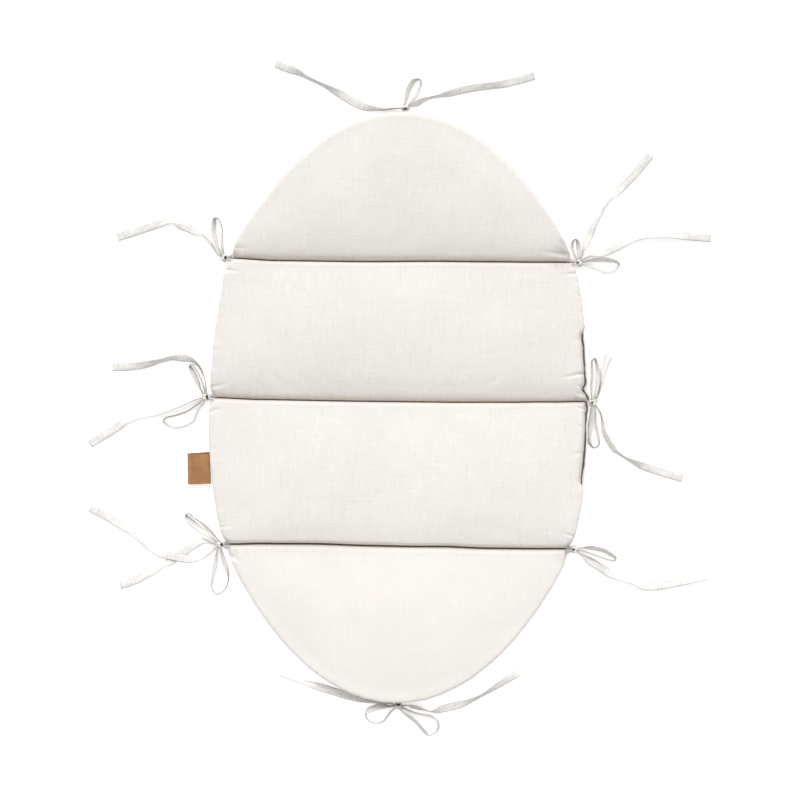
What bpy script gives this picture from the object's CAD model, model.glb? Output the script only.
import math

import bmesh
import bpy
from mathutils import Matrix, Vector, geometry, noise


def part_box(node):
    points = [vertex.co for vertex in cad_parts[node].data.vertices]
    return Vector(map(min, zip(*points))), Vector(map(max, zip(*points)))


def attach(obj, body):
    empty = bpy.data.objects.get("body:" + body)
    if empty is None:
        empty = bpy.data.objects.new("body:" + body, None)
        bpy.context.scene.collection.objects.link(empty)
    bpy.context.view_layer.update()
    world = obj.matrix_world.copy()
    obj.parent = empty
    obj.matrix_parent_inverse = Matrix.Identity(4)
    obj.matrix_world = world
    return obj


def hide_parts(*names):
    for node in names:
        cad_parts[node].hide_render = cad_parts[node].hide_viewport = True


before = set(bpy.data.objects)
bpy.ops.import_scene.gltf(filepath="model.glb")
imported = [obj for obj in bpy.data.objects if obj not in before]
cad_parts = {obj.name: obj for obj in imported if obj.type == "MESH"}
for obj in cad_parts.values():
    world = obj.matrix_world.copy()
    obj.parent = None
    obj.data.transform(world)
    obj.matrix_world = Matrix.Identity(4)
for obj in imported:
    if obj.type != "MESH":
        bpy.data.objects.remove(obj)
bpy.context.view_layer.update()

bl_info = {
    "name": "Infant lounger pad",
    "version": (1, 0, 0),
    "blender": (4, 5, 0),
    "location": "3D View > Sidebar > Lounger pad",
    "description": "Models the quilted pad, its ties and its label round the packed frame",
    "category": "Add Mesh",
}

# Every length is in metres, but for the tables that say millimetres.
MM = 0.001
WELD = 0.00001


def middle_of(node):
    """The middle of a CAD node's box."""
    low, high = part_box(node)
    return (low + high) / 2


HEAD_CHANNEL = middle_of("head_channel_stitching")
MIDDLE_CHANNEL = middle_of("middle_channel_stitching")
FOOT_CHANNEL = middle_of("foot_channel_stitching")
HEAD_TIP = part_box("head_front_cover")[1]
FOOT_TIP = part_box("foot_front_cover")[0]

# Half the pad's width at its two outer channels and at its middle one.
OUTER_HALF_WIDTH = 0.2195
MIDDLE_HALF_WIDTH = 0.2405

# The ties: their knots and the bodies they move with, then their loops and tails, each with its
# length and its route. A route is in millimetres from the knot: across, along, the tape's tilt in
# degrees and, where it crosses another, its lift.
TIES = (
    ("top_tie", "top", "head_panel", (
        ("loop", 0.087, (
            (-1.5, 0, 90), (0, 7.5, 80), (2, 15.5, 55), (4.5, 24.5, 48), (8.5, 32, 52),
            (14, 36, 75), (19.5, 35.5, 90), (20, 31, 82), (17, 23.5, 62), (12.5, 15.5, 60),
            (7, 8, 75), (1.5, 0.4, 90),
        )),
        ("right_tail", 0.170, (
            (1.4, 0.6, 90), (4.6, 2, 90), (8, 3.5, 75), (15, 6, 45), (24, 10.5, 60),
            (33, 13.5, 75), (42, 15.5, 72), (55.5, 19, 40), (72.5, 24, 25), (90, 27.5, 25),
            (116, 31, 30), (131.5, 34, 10), (147.5, 38.5, 5), (165, 44, 15),
        )),
        ("left_tail", 0.178, (
            (-1.5, -0.1, 90), (-4.9, -0.4, 90), (-14, -1, 88), (-27, -2.5, 80), (-38.5, -2, 58),
            (-54, 1.5, 20), (-67, 7.5, 8), (-79.5, 14.5, 15), (-92.5, 21.5, 45),
            (-109.5, 29.5, 72), (-123.5, 36, 70), (-136.5, 43, 45), (-153.5, 49.5, 12),
            (-166.5, 54.5, 5),
        )),
    )),
    ("left_head_tie", "leftHead", "upper_panel", (
        ("loop", 0.108, (
            (-1.6, 0.6, 90), (-4.5, 7.5, 85), (-8.5, 14.5, 70), (-11, 22.5, 58), (-13.5, 33, 52),
            (-14, 43, 55), (-12.5, 50.5, 80), (-8, 50, 90), (-5, 44.5, 85), (-3, 35.5, 80),
            (-3.5, 25.5, 68), (-3, 15, 62), (-1, 7, 80), (1.2, 1.4, 90),
        )),
        ("tail", 0.157, (
            (-1.3, 0.9, 90), (-4.2, 2.9, 90), (-9.5, 6.5, 88), (-14, 13.5, 82), (-18.5, 20.5, 70),
            (-25.5, 27.5, 80), (-34, 32, 40), (-41.5, 35.5, 10), (-52, 39.5, 5), (-59.5, 42.5, 35),
            (-65, 44.5, 72), (-70.5, 45.5, 50), (-77.5, 45, 15), (-89, 41, 5), (-104.5, 35.5, 0),
            (-118.5, 30.5, 0), (-137, 25, 0),
        )),
    )),
    ("right_head_tie", "rightHead", "upper_panel", (
        ("loop", 0.107, (
            (1.6, 0.2, 90), (9, 2, 80), (22, 4, 60), (33.5, 4.4, 52), (44, 3, 62), (50.5, 0.5, 78),
            (52, -2.5, 88), (49, -5.5, 74), (42.5, -8.5, 56), (35, -9.5, 48), (26, -6.6, 50),
            (13, -3, 70), (1.6, -1.3, 90),
        )),
        ("second_loop", 0.062, (
            (-1.6, 1.2, 90), (-5, 10.5, 74), (-8.5, 19, 60), (-8, 27, 76), (-5, 30, 86),
            (-1, 25.5, 66), (0, 16.5, 54), (-0.2, 1.8, 90),
        )),
        ("upper_tail", 0.168, (
            (0.7, 1.5, 90), (2.2, 5, 90), (4, 9, 88), (5.5, 16, 75), (9, 25.5, 40),
            (13.5, 36.5, 20), (19.5, 49.5, 45), (26.5, 62, 68), (32.5, 72.5, 78), (38.5, 81.5, 72),
            (46, 89.5, 45), (55.5, 99, 10), (74, 119, 0), (90.5, 139.5, 0),
        )),
        ("lower_tail", 0.176, (
            (1.2, 0.9, 90), (4.1, 3.1, 90), (10, 7.5, 86), (19.5, 10.5, 66), (29, 12.5, 30),
            (38.5, 16.5, 15), (47.5, 20.5, 20), (57.5, 25, 45), (69, 29.5, 65), (83, 33, 76),
            (97.5, 35, 65), (118.5, 36.5, 42), (140.5, 36, 10), (169.5, 34, 0),
        )),
    )),
    ("left_middle_tie", "leftMiddle", "upper_panel", (
        ("loop", 0.090, (
            (-2.2, 1.2, 90), (-7, 10.5, 85), (-11.5, 20, 62), (-16, 29, 55), (-20, 36, 65),
            (-20.5, 40.5, 88), (-17.5, 41.5, 90), (-13.5, 36, 88), (-9.5, 29, 88), (-6, 21.5, 88),
            (-3, 12.5, 88), (-0.9, 2.2, 90),
        )),
        ("second_loop", 0.138, (
            (-0.6, -1.8, 90), (-4, -9, 90), (-8, -15, 85), (-12, -22, 80), (-15, -30, 80),
            (-23, -36, 82), (-38, -39, 72), (-49, -36, 78), (-54, -31, 90), (-50, -27, 85),
            (-38, -24, 80), (-22, -17.5, 85), (-9, -8, 88), (-2, -1, 90),
        )),
        ("upper_tail", 0.156, (
            (0, 1.7, 90), (0, 5.6, 90), (0, 12.5, 88), (-1.5, 22.5, 85), (-4.5, 31, 75),
            (-9, 39, 68), (-16, 45.5, 55), (-24, 48.5, 30), (-33.5, 49.5, 25), (-46.5, 48.5, 55),
            (-57.5, 45.5, 55), (-73.5, 41.5, 32), (-88.5, 38.5, 18), (-104.5, 37, 5),
            (-120.5, 37, 0),
        )),
        ("lower_tail", 0.161, (
            (-1.4, -0.4, 90), (-4.8, -1.3, 90), (-14.5, -4, 88), (-27, -9.5, 80), (-41, -14, 62),
            (-53, -18, 48), (-63.5, -21.5, 40), (-79.5, -25.5, 62), (-96, -30.5, 50),
            (-110, -38, 10), (-123.5, -47.5, 5), (-136.5, -55, 0), (-148, -62.5, 0),
        )),
    )),
    ("right_middle_tie", "rightMiddle", "upper_panel", (
        ("loop", 0.113, (
            (-1.6, 1.2, 90), (-2, 10.5, 78), (-2.5, 22, 68), (-1.5, 33.5, 64), (-2.5, 45, 68),
            (-2.5, 53, 80), (0.5, 56.5, 86), (3, 52.5, 76), (5, 42.5, 60), (5.5, 31, 54),
            (4.5, 19.5, 58), (2, 9.5, 74), (1.2, 1.6, 90),
        )),
        ("second_loop", 0.120, (
            (-1.6, -1.2, 90), (-2, -10, 76), (-2.4, -20, 64), (-3.4, -32, 56), (-4.4, -44, 58),
            (-2.6, -54, 72), (3, -58, 82), (8, -53, 74), (7, -43, 66), (4, -29, 66),
            (2.6, -14, 76), (1.6, -1.2, 90),
        )),
        ("upper_tail", 0.063, (
            (0.9, 1.3, 90), (3.1, 4.4, 90), (5.5, 8, 92), (8.5, 17, 98), (10, 26, 112),
            (12, 36.5, 135), (14, 46.5, 155), (19.5, 60.5, 172),
        )),
        ("lower_tail", 0.162, (
            (1, -1.2, 90), (3.4, -4.1, 90), (8.5, -10.5, 88), (12, -24, 78), (14.5, -38, 55),
            (26, -57.5, 45), (33.5, -65, 72), (41.5, -70, 75), (51, -74.5, 55), (69, -82, 10),
            (90, -88.5, 0), (116, -95.5, 0),
        )),
    )),
    ("left_foot_tie", "leftFoot", "lower_panel", (
        ("loop", 0.118, (
            (-1.6, 0.8, 90), (-7.5, 5.5, 85), (-14, 10, 70), (-21, 15, 52), (-28.5, 20.5, 46),
            (-36.5, 27, 46), (-43, 33.5, 62), (-44.5, 37.5, 86), (-41, 39.5, 90), (-34, 34, 85),
            (-25, 27.5, 75), (-16.5, 20, 58), (-8.5, 12.5, 70), (-2.5, 5.5, 86), (0.4, 1.8, 90),
        )),
        ("second_loop", 0.136, (
            (-1.6, -1.4, 90), (-4, -11, 80), (-5.5, -21.5, 55), (-7.5, -33, 55), (-9.5, -44.5, 72),
            (-10, -56, 85), (-3.5, -63.5, 90), (6, -58, 88), (11, -45.5, 85), (10, -34.5, 75),
            (6.5, -24.5, 58), (3, -14, 65), (1, -6.5, 88), (0.6, -1.8, 90),
        )),
        ("upper_tail", 0.190, (
            (-1.2, -1, 90), (-4, -3.4, 90), (-9.5, -8, 88), (-14, -12.5, 85), (-20, -15.5, 65),
            (-31, -18.5, 42, 1), (-42.5, -19, 12, 2.6), (-53.5, -17.5, 0, 3),
            (-65.5, -15.5, 0, 2.6), (-77.5, -12.5, 30, 1), (-92, -5.5, 70), (-102.5, 3.5, 70),
            (-115, 14.5, 50), (-129.5, 24, 25), (-145.5, 33, 5), (-167.5, 44, 0),
        )),
        ("lower_tail", 0.144, (
            (-1.5, 0.1, 90), (-4.9, 0.5, 90), (-10, 1, 88), (-16.5, 3, 72), (-24, 3.5, 40),
            (-34, -1.5, 15), (-45, -9, 5), (-54, -15.5, 0), (-62, -21.5, 5), (-72, -27.5, 55),
            (-87.5, -37, 38), (-105, -46, 15), (-121.5, -52.5, 0), (-128, -54.5, 0),
        )),
    )),
    ("right_foot_tie", "rightFoot", "lower_panel", (
        ("loop", 0.110, (
            (1.6, 0.9, 90), (8, 2, 85), (17.5, 2.5, 60), (28, 1, 50), (38, -1.5, 50),
            (47, -6.5, 62), (53, -11.5, 88), (50.5, -14, 90), (43.5, -12.5, 85), (32.5, -9, 84),
            (21, -5, 84), (10.5, -2, 86), (1.6, -0.9, 90),
        )),
        ("tail", 0.184, (
            (1.2, -1, 90), (4, -3.4, 90), (6.5, -5.5, 88), (13.5, -10.5, 60), (19, -14.5, 30),
            (27, -19, 15), (39.5, -27, 5), (52, -33.5, 38), (63.5, -38, 62), (76.5, -43, 74),
            (91.5, -46.5, 20), (102.5, -46.5, 25), (114.5, -44.5, 15), (133.5, -40.5, 20),
            (152.5, -37, 45), (171, -33, 55),
        )),
    )),
    ("bottom_tie", "bottom", "foot_panel", (
        ("loop", 0.098, (
            (-1.8, -0.2, 90), (-9.5, -1, 82), (-17.5, -1, 60), (-26.5, -2, 46), (-35, -5, 48),
            (-41, -9.5, 75), (-41, -15.5, 88), (-35.5, -20.5, 85), (-27, -22.5, 80),
            (-18.5, -19.5, 75), (-13, -12, 70), (-7.5, -6, 78), (-1.2, -1.6, 90),
        )),
        ("second_loop", 0.131, (
            (0.6, -1.8, 90), (5, -7, 85), (12, -12.5, 64), (20.5, -18.5, 60), (28, -26, 58),
            (35, -33.5, 62), (41, -37, 85), (47.5, -33.5, 80), (51.5, -26.5, 68), (50, -18, 76),
            (43, -13.5, 82), (33, -11.5, 84), (20, -8.5, 85), (9.5, -4.5, 88), (1.7, -0.8, 90),
        )),
        ("left_tail", 0.159, (
            (-1.5, 0.3, 90), (-4.8, 1.2, 90), (-12.5, 3, 86), (-22, 4, 75), (-34, 5.5, 60),
            (-45.5, 7.5, 40), (-58, 10, 20), (-70.5, 13, 10), (-89, 18.5, 8), (-114.5, 26.5, 48),
            (-129.5, 31, 60), (-148.5, 39, 48), (-154.5, 41.5, 42),
        )),
        ("right_tail", 0.165, (
            (1.5, 0.1, 90), (4.9, 0.2, 90), (11.5, 0.5, 84), (18, -1, 58), (26, -3, 58),
            (34, -5, 74), (40.5, -6.5, 80), (49, -6, 38), (61.5, -2.5, 8), (73, 0.5, 10),
            (85, 4.5, 30), (105, 14, 62), (122.5, 25, 38), (152.5, 44, 0),
        )),
    )),
)

# The sizes and colours that a user would change.


def length_property(name, description, default):
    """A size in metres."""
    return bpy.props.FloatProperty(
        name=name, description=description, default=default, min=0.0, precision=5, unit="LENGTH"
    )


def share_property(name, description, default, low=0.0, high=1.0):
    """A plain number."""
    return bpy.props.FloatProperty(
        name=name, description=description, default=default, min=low, max=high, precision=4
    )


def count_property(name, description, default):
    """A whole number."""
    return bpy.props.IntProperty(name=name, description=description, default=default, min=1)


def colour_property(name, description, default):
    """A base colour, scene linear."""
    return bpy.props.FloatVectorProperty(
        name=name, description=description, default=default, size=3, min=0.0, max=1.0,
        subtype="COLOR",
    )


class PadSizes(bpy.types.PropertyGroup):
    """Sizes of the quilted panels."""

    outer_half_width: length_property(
        "Outer half width", "Half the width at the head and foot channels", OUTER_HALF_WIDTH)
    middle_half_width: length_property(
        "Middle half width", "Half the width at the middle channel", MIDDLE_HALF_WIDTH)
    upper_bulge: length_property(
        "Upper bulge", "How far the sides of the upper panel bow out", 0.0035)
    lower_bulge: length_property(
        "Lower bulge", "How far the sides of the lower panel bow out", 0.0065)
    arch_share: share_property("Arch fullness", "How pointed the arched ends are", 0.84)
    edge_bulge: length_property(
        "Edge bulge", "How far the front cloth swells out over the edge seam", 0.0050)
    corner_tuck: length_property(
        "Corner tuck", "How far a corner is drawn in at a tie", 0.0038)
    bare_tuck: length_property(
        "Bare tuck", "How far the padding lies in from an edge seam that shows", 0.0044)
    channel_gap: length_property(
        "Channel gap", "From the stitch line to the padded cloth", 0.0007)
    channel_height: length_property(
        "Channel height", "Height of the stitch lines", HEAD_CHANNEL.z)
    rim_height: length_property("Rim height", "Height of the edge seam", 0.008)
    shoulder_height: length_property("Shoulder height", "Height of the padding", 0.0235)
    crown_rise: length_property("Crown rise", "Extra height in the middle of a panel", 0.0024)
    side_roll: length_property("Side roll", "How far in the padding rolls from the rim", 0.0065)
    soft_side: share_property("Soft side", "How much of the side roll reaches far in", 0.07)
    lip_roll: length_property("Lip roll", "How far the steep lip of a channel reaches", 0.005)
    underside_roll: length_property("Underside roll", "How far in the back rolls", 0.019)
    underside_channel_roll: length_property(
        "Underside channel roll", "How far from a channel the back rolls", 0.015)
    cloth_cell: length_property("Cloth cell", "Spacing of the simulated cloth", 0.0036)
    rim_pucker: length_property("Rim pucker", "Depth of the puckers at the rim", 0.0008)
    swell_cap: length_property("Swell cap", "How far the cloth may swell", 0.0024)
    pressure: share_property("Pressure", "Inner pressure of the padding", 4.0, high=50.0)
    cloth_growth: share_property("Cloth growth", "Cloth cut larger than its panel", 0.006)
    swell_frames: count_property("Swell frames", "Steps of the cloth simulation", 20)
    fill: share_property("Fill", "How tightly the panels are filled", 0.6)


class TieSizes(bpy.types.PropertyGroup):
    """Sizes of the tape ties and their knots."""

    tape_width: length_property("Tape width", "Width of the folded tape", 0.010)
    tape_thickness: length_property("Tape thickness", "Thickness of the folded tape", 0.0013)
    tape_lift: length_property("Tape lift", "Height of the tape off the surface", 0.00035)
    gather_length: length_property(
        "Gather length", "Over how much of its length the tape gathers at a knot", 0.014)
    gather_share: share_property("Gather share", "How narrow the tape is at a knot", 0.5)
    ring_spacing: length_property("Ring spacing", "Length of a step along the tape", 0.0018)
    knot_radius: length_property("Knot radius", "Half the width of a knot", 0.0050)
    knot_stand_off: length_property(
        "Knot stand-off", "From the cloth's edge to the middle of a knot", 0.00695)
    top_shift: length_property("Top shift", "How far the top tie sits to the right", 0.002)
    bottom_shift: length_property(
        "Bottom shift", "How far the bottom tie sits to the right", 0.004)


class StitchSizes(bpy.types.PropertyGroup):
    """Sizes of the seams and their stitches."""

    stitch_pitch: length_property("Stitch pitch", "From one stitch to the next", 0.0026)
    stitch_length: length_property("Stitch length", "Length of one stitch", 0.0015)
    stitch_width: length_property("Stitch width", "Width of one stitch", 0.0012)
    seam_radius: length_property("Seam radius", "Half the thickness of the edge seam", 0.0011)
    seam_offset: length_property("Seam offset", "From the rim to a tucked edge seam", 0.0005)
    bare_seam_offset: length_property(
        "Bare seam offset", "From the rim to an edge seam that shows", 0.0040)
    edge_crease: length_property(
        "Edge crease", "Half the width of the crease beside a bare seam", 0.0013)


class LabelSizes(bpy.types.PropertyGroup):
    """Sizes of the folded leather label."""

    leather_thickness: length_property("Leather thickness", "Thickness of the leather", 0.0011)
    fold_gap: length_property("Fold gap", "Space inside the fold", 0.0005)


class Finishes(bpy.types.PropertyGroup):
    """Base colours of the materials."""

    cover_cloth: colour_property("Cover cloth", "Front cover", (0.905, 0.864, 0.818))
    tape_cloth: colour_property("Tape cloth", "Ties and knots", (0.925, 0.900, 0.866))
    stitch_thread: colour_property("Stitch thread", "Channel stitches", (0.078, 0.060, 0.044))
    crease_cloth: colour_property("Crease cloth", "Cloth at the stitch lines", (0.60, 0.52, 0.43))
    hollow: colour_property("Hollow", "Inside of a knot", (0.070, 0.055, 0.045))
    leather: colour_property("Leather", "Side label", (0.425, 0.212, 0.094))
    leather_edge: colour_property("Leather edge", "Cut edges", (0.160, 0.075, 0.035))
    floor: colour_property("Floor", "Floor of the stage", (0.90, 0.90, 0.90))


class StageSettings(bpy.types.PropertyGroup):
    """Camera and light."""

    view_width: length_property("View width", "Width of the view at the pad", 1.024)
    lens: share_property("Lens", "Focal length in millimetres", 100.0, high=500.0)
    roll: share_property("Roll", "Turn of the camera in degrees", 0.8, high=360.0)
    camera_across: bpy.props.FloatProperty(
        name="Camera across", description="Camera's place across the pad", default=0.0006,
        unit="LENGTH")
    camera_along: bpy.props.FloatProperty(
        name="Camera along", description="Camera's place along the pad", default=-0.0894,
        unit="LENGTH")
    key_strength: share_property("Key strength", "Strength of the main light", 2.3, high=20.0)
    key_height: share_property(
        "Key height", "Main light above the horizon in degrees", 46.0, high=90.0)
    key_softness: share_property(
        "Key softness", "Angle of the main light in degrees", 36.0, high=180.0)
    room_strength: share_property("Room strength", "Strength of the white room", 0.41, high=5.0)
    floor_glow: share_property("Floor glow", "How much whiter the camera sees the floor", 0.56)
    floor_size: length_property("Floor size", "Width of the floor", 8.0)


# Plain sums that several pieces share.


def mix(a, b, share):
    """From a to b by a share."""
    return a + (b - a) * share


def clamp(value):
    """The value kept between 0 and 1."""
    return min(max(value, 0.0), 1.0)


def ease(share):
    """A share from 0 to 1 with a smooth start and end."""
    share = clamp(share)
    return share * share * (3 - 2 * share)


def arched_rise(share):
    """A quarter ellipse from 0 to 1, as the padding rises from a rim."""
    return math.sqrt(1 - (1 - clamp(share)) ** 2)


def eased_rise(share):
    """A parabola from 0 to 1, as the padding rises from a channel."""
    return 1 - (1 - clamp(share)) ** 2


def table_value(rows, place):
    """The value at a place in a table of (place, value) rows, eased between them."""
    if place <= rows[0][0]:
        return rows[0][1]
    for (before, low), (after, high) in zip(rows, rows[1:]):
        if place <= after:
            return mix(low, high, ease((place - before) / (after - before)))
    return rows[-1][1]


# How uneven the cloth is in each way: how much, as a length or a share, how far it is from one
# swell to the next, and a seed.
UNEVENNESS = {
    "tape width": (0.05, 0.012, 2.0),
    "fine channel pucker": (0.00028, 0.0045, 3.0),
    "tape cup": (0.0006, 0.045, 5.0),
    "broad channel pucker": (0.00022, 0.020, 7.0),
    "tape crinkle": (0.00022, 0.009, 9.0),
    "rim pucker": (1.0, 0.0055, 11.0),
    "panel wave": (0.0007, 0.055, 17.0),
    "seam line": (1.0, 0.011, 21.0),
    "seam height": (0.0003, 0.016, 25.0),
    "overhang": (0.17, 0.010, 27.0),
    "seam nip": (0.16, 0.0035, 31.0),
    "seam swell": (0.10, 0.012, 33.0),
    "crease width": (0.7, 0.008, 37.0),
    "seam shade": (0.35, 0.0035, 41.0),
}


def unevenness(kind, place, shift=0.0):
    """How far the cloth strays in one way at a place, from smooth noise."""
    strength, scale, seed = UNEVENNESS[kind]
    spot = (place[0] / scale, place[1] / scale, place[2] / scale + (seed + shift))
    return strength * noise.noise(Vector(spot))


def along_curve(points, steps):
    """A centripetal Catmull-Rom curve through points of any number of values."""
    first = [2 * a - b for a, b in zip(points[0], points[1])]
    last = [2 * a - b for a, b in zip(points[-1], points[-2])]
    chain = [first, *points, last]
    curve = []
    for place in range(1, len(chain) - 2):
        four = chain[place - 1:place + 3]
        spans = [max(0.0001, math.dist(a, b) ** 0.5) for a, b in zip(four, four[1:])]
        for step in range(steps):
            curve.append(curve_point(four, spans, step / steps))
    curve.append(list(points[-1]))
    return curve


def curve_point(four, spans, share):
    """A point between the second and third of four curve points."""
    before, here, after = spans
    point = []
    for a, b, c, d in zip(*four):
        leave = ((b - a) / before - (c - a) / (before + here) + (c - b) / here) * here
        arrive = ((c - b) / here - (d - b) / (here + after) + (d - c) / after) * here
        cubic = 2 * b - 2 * c + leave + arrive
        square = 3 * c - 3 * b - 2 * leave - arrive
        point.append(((cubic * share + square) * share + leave) * share + b)
    return point


def evenly_spaced(points, spacing):
    """The points moved to equal steps of about a spacing along their line."""
    lengths = [0.0]
    for a, b in zip(points, points[1:]):
        lengths.append(lengths[-1] + math.dist(a[:2], b[:2]))
    count = max(2, round(lengths[-1] / spacing))
    even = []
    place = 0
    for step in range(count + 1):
        target = lengths[-1] * step / count
        while place < len(lengths) - 2 and lengths[place + 1] < target:
            place += 1
        span = max(lengths[place + 1] - lengths[place], 1e-9)
        share = (target - lengths[place]) / span
        even.append([mix(a, b, share) for a, b in zip(points[place], points[place + 1])])
    return even


# Mesh work that several pieces share.


def new_mesh_object(name, bm, material):
    """A smooth object at the origin, made from a bmesh."""
    mesh = bpy.data.meshes.new(name)
    bm.to_mesh(mesh)
    bm.free()
    mesh.shade_smooth()
    mesh.materials.append(material)
    piece = bpy.data.objects.new(name, mesh)
    bpy.context.scene.collection.objects.link(piece)
    return piece


def drape_grid(bm, columns, rows, place, size=(1.0, 1.0)):
    """A grid laid over a surface: place(u, v) gives each point, and size its UV lengths."""
    made = bmesh.ops.create_grid(bm, x_segments=columns, y_segments=rows, size=1)["verts"]
    cover = bm.loops.layers.uv.verify()
    faces = {face for vert in made for face in vert.link_faces}
    for face in faces:
        for corner in face.loops:
            u = (corner.vert.co.x + 1) / 2
            v = (corner.vert.co.y + 1) / 2
            corner[cover].uv = (u * size[0], v * size[1])
    for vert in made:
        vert.co = place((vert.co.x + 1) / 2, (vert.co.y + 1) / 2)
    return made


def close_up(bm):
    """Merges the seam of a wrapped grid, closes its ends and points its faces outwards."""
    bmesh.ops.remove_doubles(bm, verts=bm.verts, dist=WELD)
    rims = [edge for edge in bm.edges if edge.is_boundary]
    bmesh.ops.holes_fill(bm, edges=rims, sides=0)
    bmesh.ops.recalc_face_normals(bm, faces=bm.faces)


def leftwards(path):
    """For each point of a path, the level direction to its left."""
    directions = []
    for place in range(len(path)):
        before = Vector(path[max(place - 1, 0)][:2])
        after = Vector(path[min(place + 1, len(path) - 1)][:2])
        ahead = (after - before).normalized()
        directions.append(Vector((-ahead.y, ahead.x, 0)))
    return directions


def sweep(bm, path, columns, section, lengthwise):
    """A closed roll along a path: section(turn, place, share) gives the reach aside and up."""
    left = leftwards(path)
    last = len(path) - 1

    def on_roll(u, v):
        place = round(v * last)
        aside, up = section(u * math.tau, place, v)
        return Vector(path[place][:3]) + left[place] * aside + Vector((0, 0, up))

    drape_grid(bm, columns, last, on_roll, (1.0, lengthwise))
    close_up(bm)


# Materials, from shader groups that several of them share.


def add_node(tree, kind, inputs=None, **settings):
    """A shader node with its settings, and its inputs set or linked."""
    node = tree.nodes.new(kind)
    for key, value in settings.items():
        setattr(node, key, value)
    for key, value in (inputs or {}).items():
        if isinstance(value, bpy.types.NodeSocket):
            tree.links.new(value, node.inputs[key])
        else:
            node.inputs[key].default_value = value
    return node


def stretched(tree, vector, stretch):
    """A vector multiplied by three numbers."""
    node = add_node(tree, "ShaderNodeVectorMath", {0: vector, 1: stretch}, operation="MULTIPLY")
    return node.outputs["Vector"]


def noise_value(tree, vector, scale, detail=2.0, roughness=0.5):
    """A noise texture's value."""
    node = add_node(
        tree, "ShaderNodeTexNoise",
        {"Vector": vector, "Scale": scale, "Detail": detail, "Roughness": roughness})
    return node.outputs["Fac"]


def remapped(tree, value, low, high, to_low=0.0, to_high=1.0):
    """A value taken from one range to another, smoothly."""
    node = add_node(
        tree, "ShaderNodeMapRange",
        {"Value": value, "From Min": low, "From Max": high, "To Min": to_low, "To Max": to_high},
        interpolation_type="SMOOTHSTEP")
    return node.outputs["Result"]


def math_value(tree, operation, a, b=0.0):
    """A value worked out by a Math node from one or two others."""
    return add_node(tree, "ShaderNodeMath", {0: a, 1: b}, operation=operation).outputs[0]


def plus(tree, a, b):
    """Two values added."""
    return math_value(tree, "ADD", a, b)


def times(tree, a, b):
    """Two values multiplied."""
    return math_value(tree, "MULTIPLY", a, b)


def mixed(tree, factor, a, b):
    """A colour between two others."""
    node = add_node(
        tree, "ShaderNodeMix", {"Factor": factor, "A": a, "B": b}, data_type="RGBA")
    return node.outputs["Result"]


def painted(tree, name):
    """The value that a mesh carries at each point under a name."""
    node = add_node(
        tree, "ShaderNodeAttribute", attribute_name=name, attribute_type="GEOMETRY")
    return node.outputs["Fac"]


def dyed(colour, red, green, blue):
    """A scene-linear colour multiplied channel by channel, with an alpha of 1."""
    return (colour[0] * red, colour[1] * green, colour[2] * blue, 1.0)


def with_alpha(colour, factor=1.0):
    """A scene-linear colour made lighter or darker, with an alpha of 1."""
    return dyed(colour, factor, factor, factor)


def two_toned(tree, value, span, colour, factors):
    """A colour that goes from darker to lighter as a value goes through its span."""
    dark, light = (with_alpha(colour, factor) for factor in factors)
    return mixed(tree, remapped(tree, value, *span), dark, light)


def group_with(name, inputs, outputs):
    """A new shader group with named sockets, and its input and output nodes."""
    group = bpy.data.node_groups.new(name, "ShaderNodeTree")
    for label, kind, default in inputs:
        socket = group.interface.new_socket(label, in_out="INPUT", socket_type=kind)
        if default is not None:
            socket.default_value = default
    for label, kind in outputs:
        group.interface.new_socket(label, in_out="OUTPUT", socket_type=kind)
    given = group.nodes.new("NodeGroupInput").outputs
    wanted = group.nodes.new("NodeGroupOutput").inputs
    return group, given, wanted


# The length of tape round its section, as its UV map gives it.
TAPE_ROUND = 0.022

# Where a noise texture's value goes from its low to its high end.
NOISE_SPAN = (0.3, 0.7)

# How fine the threads, the patches in which they show, the weave and the specks are on each axis.
THREADS_ALONG = (44, 500, 200)
THREADS_ACROSS = (490, 40, 200)
PATCHES_ALONG = (60, 90, 50)
PATCHES_ACROSS = (95, 50, 70)
WARP = (900, 240, 500)
WEFT = (240, 900, 500)
SPECKS = (420, 420, 300)
BROAD_TONES = 14.0


def slubs(group, vector, fineness, patches, strength):
    """Thick-and-thin threads one way, which show in patches."""
    threads = noise_value(group, stretched(group, vector, fineness), 1.0, 2.0, 0.6)
    shown = noise_value(group, stretched(group, vector, patches), 1.0, 1.0)
    return times(
        group, remapped(group, threads, *NOISE_SPAN, -strength, strength),
        remapped(group, shown, 0.42, 0.66, 0.15, 1.0))


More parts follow.
